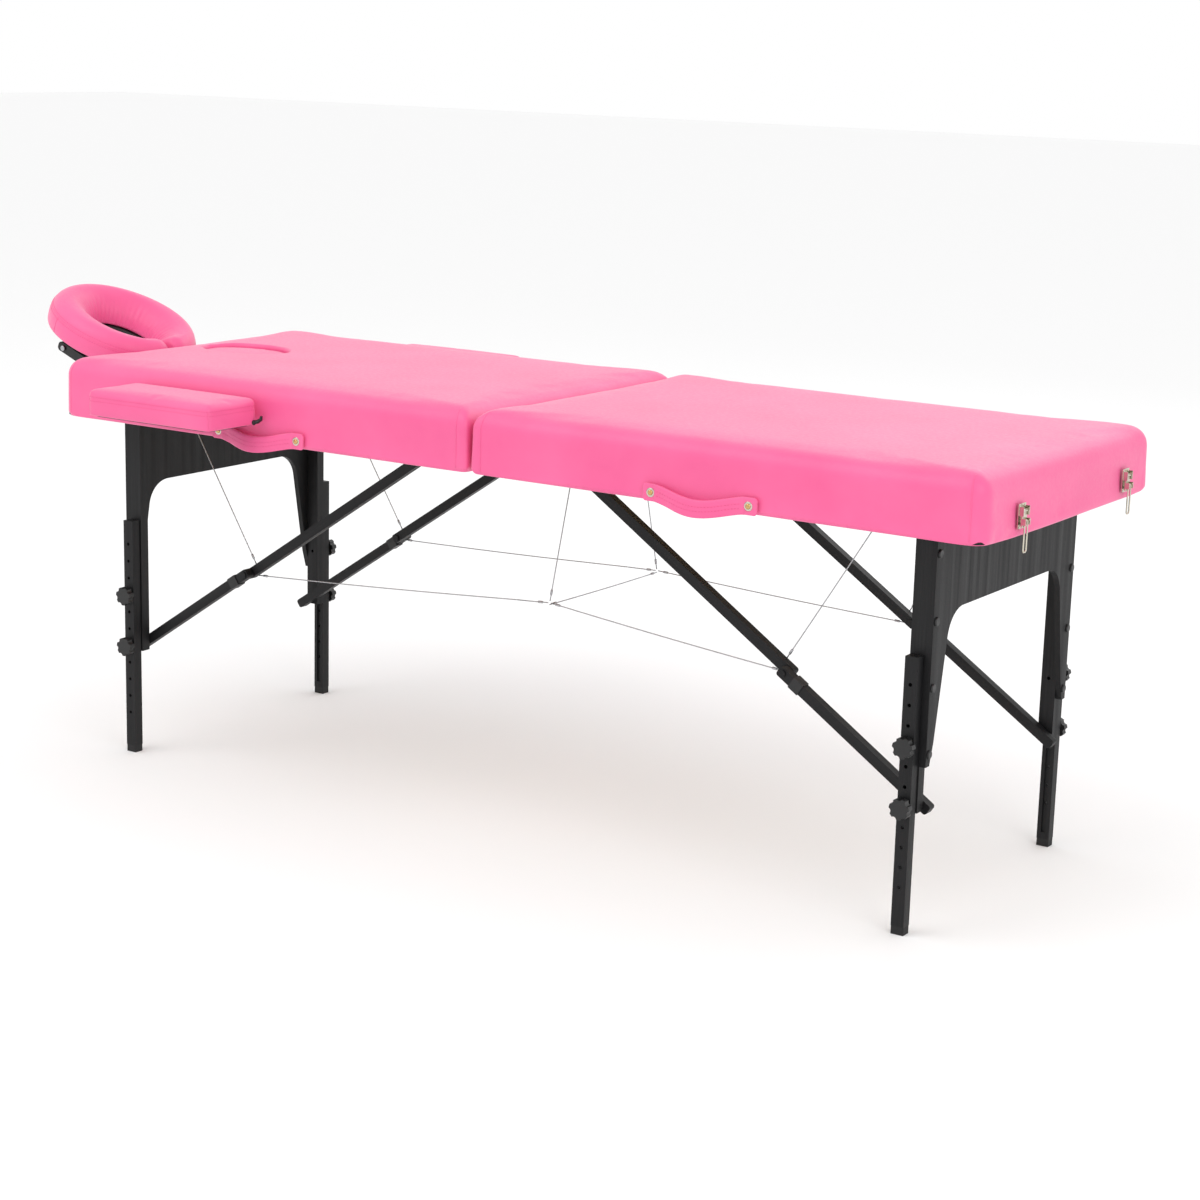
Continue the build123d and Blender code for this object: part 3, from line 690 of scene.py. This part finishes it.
# ---- armrests ----
def armrest(side):
    """A boxed armrest cushion with a double-stitched seam, its board, pegs and hook."""
    body = "armrest_body_" + side
    low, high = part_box("armrest_" + side)
    sign = -1 if side == "near" else 1
    pad_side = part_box("head_cover")[0].y if sign < 0 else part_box("head_cover")[1].y
    inner = pad_side + sign * 8 * MM
    outer = low.y if sign < 0 else high.y
    y_low, y_high = sorted((inner, outer))
    board_top = low.z + 2 * MM
    board_margin = 8 * MM
    pull_in = 2 * MM
    vertices, faces, _, _ = rounded_grid(
        (low.x + pull_in, y_low + pull_in, board_top), (high.x - pull_in, y_high - pull_in,
                                                        high.z - pull_in), 11 * MM, 5.5 * MM, True)
    obj = add_mesh("armrest_cushion_" + side, vertices, faces, pink, body)
    values = coordinates(obj.data)
    puff(obj, np.nonzero(values[:, 2] < board_top + 1 * MM)[0], 4.0, 4.0 * MM)
    subdivide(obj)
    values = coordinates(obj.data)
    seam_z = board_top + 0.62 * (high.z - board_top)
    centre = np.array([(low.x + high.x) / 2, (y_low + y_high) / 2])
    offset = values[:, :2] - centre
    on_side = (np.abs(offset[:, 0]) > (high.x - low.x) / 2 - 8 * MM) | (
        np.abs(offset[:, 1]) > (y_high - y_low) / 2 - 8 * MM)
    depth = 1.3 * MM * np.exp(-((values[:, 2] - seam_z) / (2.2 * MM)) ** 2) * on_side
    direction = offset / (np.array([high.x - low.x, y_high - y_low]) / 2)
    direction = direction ** 7
    direction /= np.linalg.norm(direction, axis=1, keepdims=True) + 1e-9
    values[:, :2] -= direction * depth[:, None]
    values[:, 2] = np.maximum(values[:, 2], board_top)
    set_coordinates(obj, values)
    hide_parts("armrest_" + side)

    radius = 13 * MM
    plan = rounded_path((low.x, y_low), (high.x, y_high), radius)
    shape = Shape()
    for rise in (3.2 * MM, -3.2 * MM):
        path = [Vector((x, y, seam_z + rise)) for x, y in plan]
        stitches(shape, obj, [on_surface(obj, p)[0] for p in path])
    shape.piece("armrest_stitching_" + side, thread, body, "leatherette")
    corner_seams("armrest_corner_seams_" + side, obj, body, (low.x, y_low), (high.x, y_high),
                 board_top, seam_z)
    board("armrest_board_" + side, body, (low.x + board_margin, y_low + board_margin),
          (high.x - board_margin, y_high - board_margin), low.z, board_top)
    pegs_and_hook(side, body, sign, inner, pad_side, low, high)


def rounded_path(low, high, radius):
    """A closed path round a rectangle with rounded corners, as (x, y) points."""
    path = []
    left, right = low[0] + radius, high[0] - radius
    front, back = low[1] + radius, high[1] - radius
    for cx, cy, start in ((right, back, 0), (left, back, 90), (left, front, 180), (right, front, 270)):
        for step in range(7):
            a = math.radians(start + step * 15)
            path.append((cx + radius * math.cos(a), cy + radius * math.sin(a)))
    return path + path[:1]


def corner_seams(name, surface, body, low, high, z_low, z_high):
    """The crisp upright seam at each corner of a boxed cushion's side panel."""
    shape = Shape()
    inset = 3.5 * MM
    for x, sx in ((low[0], -1), (high[0], 1)):
        for y, sy in ((low[1], -1), (high[1], 1)):
            path = [Vector((x - sx * inset, y - sy * inset, z))
                    for z in np.linspace(z_low + 1 * MM, z_high, 8)]
            shape.tube([on_surface(surface, p)[0] for p in path], [0.7 * MM] * 8, 6)
    shape.piece(name, pink, body, "leatherette")


def board(name, body, low, high, z_low, z_high):
    """The black board under an armrest cushion, with eased edges."""
    shape = Shape()
    rings = []
    for inset, z in ((3, z_low), (2.2, z_low + 0.6 * MM), (2, z_low + 1.5 * MM), (2, z_high)):
        path = rounded_path((low[0] + inset * MM, low[1] + inset * MM),
                            (high[0] - inset * MM, high[1] - inset * MM), 12 * MM)[:-1]
        rings.append([Vector((x, y, z)) for x, y in path])
    shape.rings(rings)
    shape.piece(name, board_black, body, "leatherette", smooth=False)


def pegs_and_hook(side, body, sign, inner, pad_side, low, high):
    """The armrest's two steel pegs, and the black catch at its pad-side corner."""
    shape = Shape()
    peg_z = low.z + 4 * MM
    for x in (low.x + 44 * MM, high.x - 62 * MM):
        shape.tube([(x, pad_side - sign * 22 * MM, peg_z), (x, inner + sign * 12 * MM, peg_z)],
                   [4 * MM, 4 * MM], 20)
    shape.piece("armrest_pegs_" + side, zinc, body, "leatherette")
    hook = Shape()
    x = high.x - 3 * MM
    path = [(x, inner + sign * 14 * MM, peg_z + 2 * MM),
            (x + 4 * MM, inner + sign * 5 * MM, peg_z + 3 * MM),
            (x + 6 * MM, inner - sign * 1 * MM, peg_z + 6 * MM),
            (x + 6 * MM, inner - sign * 3 * MM, peg_z + 12 * MM)]
    hook.tube(path, [3.4 * MM, 3.6 * MM, 3.2 * MM, 2.2 * MM], 12)
    hook.lathe([(0.1 * MM, 0), (4.5 * MM, 0), (4.5 * MM, 2 * MM), (3 * MM, 3 * MM), (0.1 * MM, 3.2 * MM)],
               (x + 1 * MM, inner + sign * 12 * MM, peg_z + 2 * MM), (1, 0, 0), 20)
    hook.piece("armrest_catch_" + side, black_steel, body, "black_steel")


# ---- headrest ----
tilt_joint = joints["headrest_tilt"]
tilt = -math.radians(tilt_joint["range_deg"][0])
tilt_origin = Vector(tilt_joint["pos_m"])


def headrest_point(outward, across, up):
    """A point in the headrest's own axes, which tilt about its hinge."""
    return tilt_origin + Vector((-outward * math.cos(tilt) + up * math.sin(tilt), across,
                                 outward * math.sin(tilt) + up * math.cos(tilt)))


def closed_curve(points, count):
    """A smooth closed curve through points, sampled count times."""
    points = [np.array(p, float) for p in points]
    size = len(points)
    result = []
    for k in range(count):
        at = k / count * size
        i, t = int(at), at - int(at)
        a, b, c, d = (points[(i + step) % size] for step in (-1, 0, 1, 2))
        result.append(0.5 * (2 * b + (c - a) * t + (2 * a - 5 * b + 4 * c - d) * t ** 2 +
                             (3 * b - a - 3 * c + d) * t ** 3))
    return result


SECTION = [(1.0, 0.04), (1.02, 0.22), (1.02, 0.42), (0.99, 0.60), (0.93, 0.78), (0.82, 0.92),
           (0.68, 0.99), (0.52, 0.97), (0.36, 0.86), (0.20, 0.67), (0.08, 0.45), (0.02, 0.24),
           (0.0, 0.06), (0.08, 0.0), (0.5, 0.0), (0.92, 0.0)]
HEAD_CENTRE = 155 * MM
HOLE_CENTRE = 152 * MM
HEAD_HALF = (146 * MM, 140 * MM)
HOLE_HALF = (68 * MM, 58 * MM)
CUSHION_BOTTOM = 17.3 * MM
CUSHION_HEIGHT = 60 * MM
CLEFT = math.radians(2.6)


def headrest_surface(angle, across, up):
    """A point on the horseshoe: angle round it, then 0-1 from hole to rim, 0-1 upwards."""
    outer = Vector((HEAD_CENTRE - HEAD_HALF[0] * math.cos(angle), HEAD_HALF[1] * math.sin(angle)))
    inner = Vector((HOLE_CENTRE - HOLE_HALF[0] * math.cos(angle), HOLE_HALF[1] * math.sin(angle)))
    plan = inner + (outer - inner) * across
    return plan, CUSHION_BOTTOM + CUSHION_HEIGHT * up


def cushion_point(obj, angle, across, up):
    """The point of the finished face cushion nearest to a place on the plain horseshoe."""
    plan, height = headrest_surface(angle, across, up)
    return on_surface(obj, headrest_point(plan.x, plan.y, height))[0]


def headrest():
    """The horseshoe face cushion: side panel, gathered inner wall, stitched seam."""
    section = closed_curve(SECTION, 44)
    turns = 170
    end_rings = 6
    rings = []
    for k in range(turns + 1):
        angle = CLEFT + (2 * math.pi - 2 * CLEFT) * k / turns
        from_end = min(k, turns - k)
        full = min(1.0, 0.72 + 0.28 * math.sin(math.pi / 2 * min(1, from_end / end_rings)))
        ring = []
        for across, up in section:
            across = 0.5 + (across - 0.5) * full
            up = 0.45 + (up - 0.45) * full
            plan, height = headrest_surface(angle, across, up)
            ring.append(headrest_point(plan.x, plan.y, height))
        rings.append(ring)
    shape = Shape()
    shape.rings(rings)
    obj = shape.piece("headrest_face_cushion", pink, "headrest_tilter", "leatherette")
    low_side = [i for i in range(len(obj.data.vertices)) if section[i % 44][1] < 0.03]
    puff(obj, low_side, 4.0, 3.0 * MM)
    gather(obj, section, turns)
    subdivide(obj)
    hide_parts("headrest_cushion")

    thread_rows = Shape()
    for across, up in ((0.985, 0.66), (1.015, 0.52)):
        path = []
        for k in range(241):
            angle = 2 * CLEFT + (2 * math.pi - 4 * CLEFT) * k / 240
            path.append(cushion_point(obj, angle, across, up))
        stitches(thread_rows, obj, path)
    thread_rows.piece("headrest_stitching", thread, "headrest_tilter", "leatherette")

    seam = Shape()
    for angle in (math.radians(250), math.radians(110)):
        path = []
        for up in np.linspace(0.06, 0.58, 10):
            path.append(cushion_point(obj, angle, 1.02, up))
        seam.tube(path, [0.8 * MM] * len(path), 6)
    ring = []
    for k in range(241):
        angle = 1.5 * CLEFT + (2 * math.pi - 3 * CLEFT) * k / 240
        ring.append(cushion_point(obj, angle, 1.0, 0.59))
    seam.tube(ring, [0.8 * MM] * len(ring), 6)
    seam.piece("headrest_seams", pink, "headrest_tilter", "leatherette")

    rivets = Shape()
    low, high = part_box("headrest_platform")
    place = headrest_point(176 * MM, 0, 0)
    for sign, y in ((-1, low.y), (1, high.y)):
        rivets.lathe([(5.2 * MM, -0.4 * MM), (5.2 * MM, 0.3 * MM), (4.2 * MM, 1.1 * MM),
                      (2.4 * MM, 1.7 * MM), (0.1 * MM, 1.9 * MM)],
                     (place.x, y, place.z), (0, sign, 0))
    rivets.piece("headrest_arm_rivets", zinc, "headrest_tilter", "zinc_steel")


def gather(obj, section, turns):
    """Small upright pleats round the inner wall of the face hole."""
    values = coordinates(obj.data)
    count = len(section)
    pleat_count = 44
    strengths = [random.uniform(0.5, 1.3) for _ in range(pleat_count + 1)]
    for i in range(len(values)):
        across, up = section[i % count]
        turn = (i // count) / turns
        if across > 0.42 or up < 0.05:
            continue
        fade = min(1, (0.42 - across) / 0.3) * min(1, up / 0.15)
        pleat = turn * pleat_count
        depth = 1.5 * MM * strengths[int(pleat)] * fade * math.cos(2 * math.pi * pleat) ** 3
        angle = CLEFT + (2 * math.pi - 2 * CLEFT) * turn
        inward = headrest_point(-math.cos(angle), math.sin(angle), 0.3) - tilt_origin
        values[i] += np.array(inward) * depth
    set_coordinates(obj, values)


# ---- carrying handles ----
STRAP_HALF_WIDTH = 14 * MM
STRAP_THICKNESS = 5.5 * MM


def strap_line(along, half):
    """How far a handle's strap stands out, droops and leans at a distance from its middle."""
    free = half - 7 * MM
    if abs(along) >= free:
        return 0.0, 0.0, 0.0
    swing = 0.5 + 0.5 * math.cos(math.pi * along / free)
    return 13.0 * MM * swing ** 0.8, 13.0 * MM * swing ** 0.7, math.radians(14) * swing


def strap_point(centre, half, along, height, thickness):
    """A point of the strap: along it, up across it, and out from its back face."""
    out, droop, lean = strap_line(along, half)
    near_end = math.exp(-((abs(along) - half + 20 * MM) / (12 * MM)) ** 2)
    ripple = 0.9 * MM * near_end * math.sin(height / (4.2 * MM) + along / (9 * MM))
    y = out + thickness + ripple - height * math.sin(lean)
    z = -droop + height * math.cos(lean)
    return Vector((centre.x + along, centre.y - y, centre.z + z))


def handle(end):
    """A drooping padded strap with two stitched rows, held by a dome rivet at each end."""
    body = end + "_half"
    low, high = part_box(end + "_handle")
    tab = 15 * MM
    half = (high.x - low.x) / 2 - tab
    centre = Vector(((low.x + high.x) / 2, high.y - 0.3 * MM, (low.z + high.z) / 2))
    rings = []
    length = half + tab
    for along in np.linspace(-length, length, 90):
        tip = max(0.0, (abs(along) - length + 5 * MM) / (5 * MM))
        width = STRAP_HALF_WIDTH * (1 - 0.3 * tip ** 2)
        ring = []
        for k in range(28):
            turn = 2 * math.pi * k / 28
            c, s = math.cos(turn), math.sin(turn)
            height = width * math.copysign(abs(c) ** 0.35, c)
            depth = 0.5 * STRAP_THICKNESS * (1 + math.copysign(abs(s) ** 0.6, s))
            flat = 1 - 0.35 * (abs(along) > half - 6 * MM)
            ring.append(strap_point(centre, half, float(along), height, depth * flat))
        rings.append(ring)
    shape = Shape()
    shape.rings(rings)
    strap = shape.piece(end + "_handle_strap", pink, body, "leatherette")
    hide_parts(end + "_handle")
    rows = Shape()
    for height in (3.4 * MM, -3.4 * MM):
        path = [strap_point(centre, half, float(a), height, STRAP_THICKNESS)
                for a in np.linspace(-half + 12 * MM, half - 12 * MM, 80)]
        stitches(rows, strap, path)
    rows.piece(end + "_handle_stitching", thread, body, "leatherette")
    washers, domes = Shape(), Shape()
    face = centre.y - STRAP_THICKNESS * 0.65
    for sign in (-1, 1):
        place = (centre.x + sign * half, face + 0.4 * MM, centre.z)
        washers.lathe([(3 * MM, 0), (7.5 * MM, 0), (7.5 * MM, 1.0 * MM), (6.6 * MM, 1.5 * MM),
                       (4.6 * MM, 1.2 * MM), (3 * MM, 1.2 * MM)], place, (0, -1, 0))
        domes.lathe([(4.4 * MM, 0.6 * MM), (4.4 * MM, 1.6 * MM), (3.8 * MM, 2.7 * MM),
                     (2.4 * MM, 3.5 * MM), (0.1 * MM, 3.8 * MM)], place, (0, -1, 0))
    washers.piece(end + "_handle_washers", nickel, body, "nickel")
    domes.piece(end + "_handle_rivets", brass, body, "nickel")


# ---- cables ----
def straight_runs(node):
    """The two end points of each straight round cable in a CAD node."""
    mesh = bmesh.new()
    mesh.from_mesh(nodes[node].data)
    bmesh.ops.remove_doubles(mesh, verts=mesh.verts, dist=0.01 * MM)
    runs, seen = [], set()
    for first in mesh.verts:
        if first in seen:
            continue
        island, waiting = [], [first]
        seen.add(first)
        while waiting:
            vert = waiting.pop()
            island.append(np.array(vert.co))
            for edge in vert.link_edges:
                other = edge.other_vert(vert)
                if other not in seen:
                    seen.add(other)
                    waiting.append(other)
        points = np.array(island)
        middle = (points.min(0) + points.max(0)) / 2
        _, _, axes = np.linalg.svd(points - points.mean(0))
        along = (points - middle) @ axes[0]
        runs.append((Vector(middle + axes[0] * along.min()), Vector(middle + axes[0] * along.max())))
    mesh.free()
    return runs


def cables(end):
    """The steel cables of one half, with a crimped sleeve near each end of the longer runs."""
    shape = Shape()
    pins_low, pins_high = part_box("centre_hinge_pins")
    seam = (pins_low.x + pins_high.x) / 2
    for start, finish in straight_runs(end + "_cables"):
        run = finish - start
        step = run.normalized()
        count = max(2, int(run.length / (25 * MM)))
        sag = 0.003 * run.length
        line = [start + run * (i / count) - Vector((0, 0, sag * math.sin(math.pi * i / count)))
                for i in range(count + 1)]
        shape.tube(line, [1.0 * MM] * len(line), 10)
        for tip, inward in ((start, step), (finish, -step)):
            if abs(tip.x - seam) < 4 * MM or run.length < 60 * MM:
                continue
            sleeve = [tip + inward * d * MM for d in (10, 11, 19, 20)]
            shape.tube(sleeve, [1.3 * MM, 2.2 * MM, 2.2 * MM, 1.3 * MM], 12)
    obj = shape.piece(end + "_wire_cables", wire_rope, end + "_half", "steel_wire")
    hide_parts(end + "_cables")
    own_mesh(obj)


# ---- latch screws ----
def latch_screws():
    """Small pan-head screws in the two latch plates."""
    shape = Shape()
    low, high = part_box("latch_plates")
    plate_half = 13 * MM
    for middle in (low.y + plate_half, high.y - plate_half):
        for dy, z in ((-8.5 * MM, low.z + 5 * MM), (8.5 * MM, low.z + 5 * MM),
                      (-8.5 * MM, high.z - 4 * MM), (8.5 * MM, high.z - 4 * MM)):
            shape.lathe([(2.2 * MM, 0), (2.2 * MM, 0.5 * MM), (1.6 * MM, 1.1 * MM),
                         (0.1 * MM, 1.3 * MM)],
                        (low.x + 1.6 * MM, middle + dy, z), (1, 0, 0), 16)
    shape.piece("latch_plate_screws", nickel, "foot_half", "nickel")


# ---- hard parts ----
def paint_hard_parts():
    """Gives every CAD node that stays visible its material."""
    for end, brace in (("head", head_brace_wood), ("foot", foot_brace_wood)):
        paint(end + "_frame_rails", rail_wood)
        paint(end + "_deck", raw_plywood)
        paint(end + "_upper_legs", upright_wood)
        paint(end + "_arch_panel", panel_wood)
        paint(end + "_arch_bolts", black_steel)
        paint(end + "_upper_braces", brace)
        paint(end + "_lower_braces", brace)
        paint(end + "_knee_brackets", black_steel)
        paint(end + "_leg_axle", zinc)
        paint(end + "_hinge_leaves", zinc)
        for side in ("near", "far"):
            paint(f"{end}_lower_leg_{side}", upright_wood)
            paint(f"{end}_foot_cap_{side}", black_rubber)
            for knob in ("lower", "upper"):
                paint(f"{end}_{knob}_knob_{side}", black_plastic)
    paint("centre_hinge_pins", zinc)
    paint("head_end_fittings", zinc)
    paint("headrest_frame", black_steel)
    paint("headrest_platform", black_steel)
    paint("headrest_cam_lever", black_plastic)
    paint("latch_plates", nickel)
    for side in ("near", "far"):
        paint("latch_lever_" + side, nickel)
        paint("latch_loop_" + side, nickel)


# ---- stage, lights, camera ----
def stage():
    """A plain pale floor and a white studio around it."""
    size = 30.0
    mesh = bpy.data.meshes.new("floor")
    mesh.from_pydata([(-size, -size, 0), (size, -size, 0), (size, size, 0), (-size, size, 0)], [],
                     [(0, 1, 2, 3)])
    floor = bpy.data.objects.new("floor", mesh)
    bpy.context.scene.collection.objects.link(floor)
    material, _, shader = base_material("pale_floor", (0.95, 0.95, 0.95), 0.85)
    shader.inputs["Specular IOR Level"].default_value = 0.1
    mesh.materials.append(material)
    world = bpy.data.worlds.new("studio")
    bpy.context.scene.world = world
    world.use_nodes = True
    background = world.node_tree.nodes["Background"]
    background.inputs["Color"].default_value = (1, 1, 1, 1)
    background.inputs["Strength"].default_value = 1.0


def softbox(name, position, target, size, power):
    """A rectangular soft light that faces a target."""
    light = bpy.data.lights.new(name, "AREA")
    light.shape = "RECTANGLE"
    light.size, light.size_y = size
    light.energy = power
    obj = bpy.data.objects.new(name, light)
    obj.location = position
    obj.rotation_euler = (Vector(target) - Vector(position)).to_track_quat("-Z", "Y").to_euler()
    bpy.context.scene.collection.objects.link(obj)


CAMERA_PLACE = (2.5559, -3.6006, 1.3452)
CAMERA_YAW = math.radians(33.207)
CAMERA_PITCH = math.radians(12.794)
CAMERA_ROLL = math.radians(1.544)
CAMERA_LENS = 75.585


def camera():
    """A view from the near side and the foot end, slightly above."""
    data = bpy.data.cameras.new("camera")
    obj = bpy.data.objects.new("camera", data)
    bpy.context.scene.collection.objects.link(obj)
    level = math.cos(CAMERA_PITCH)
    ahead = Vector((-math.sin(CAMERA_YAW) * level, math.cos(CAMERA_YAW) * level,
                    -math.sin(CAMERA_PITCH)))
    right = Vector((math.cos(CAMERA_YAW), math.sin(CAMERA_YAW), 0))
    up = right.cross(ahead)
    turned = right * math.cos(CAMERA_ROLL) + up * math.sin(CAMERA_ROLL)
    up = up * math.cos(CAMERA_ROLL) - right * math.sin(CAMERA_ROLL)
    matrix = Matrix((turned, up, -ahead)).transposed().to_4x4()
    matrix.translation = Vector(CAMERA_PLACE)
    obj.matrix_world = matrix
    data.sensor_width = 36
    data.lens = CAMERA_LENS
    data.clip_end = 200
    bpy.context.scene.camera = obj


pad_cover("head")
pad_cover("foot")
breathing_plug()
armrest("near")
armrest("far")
headrest()
handle("head")
handle("foot")
cables("head")
cables("foot")
latch_screws()
paint_hard_parts()

stage()
softbox("key", (-1.5, -2.5, 4.0), (0, 0, 0.5), (3.0, 3.0), 42)
softbox("fill", (4.0, -2.0, 2.6), (0.3, 0, 0.5), (2.5, 2.5), 34)
softbox("back", (0.5, 4.0, 3.2), (0, 0, 0.7), (4.0, 1.5), 24)
camera()
bpy.context.scene.view_settings.view_transform = "Standard"
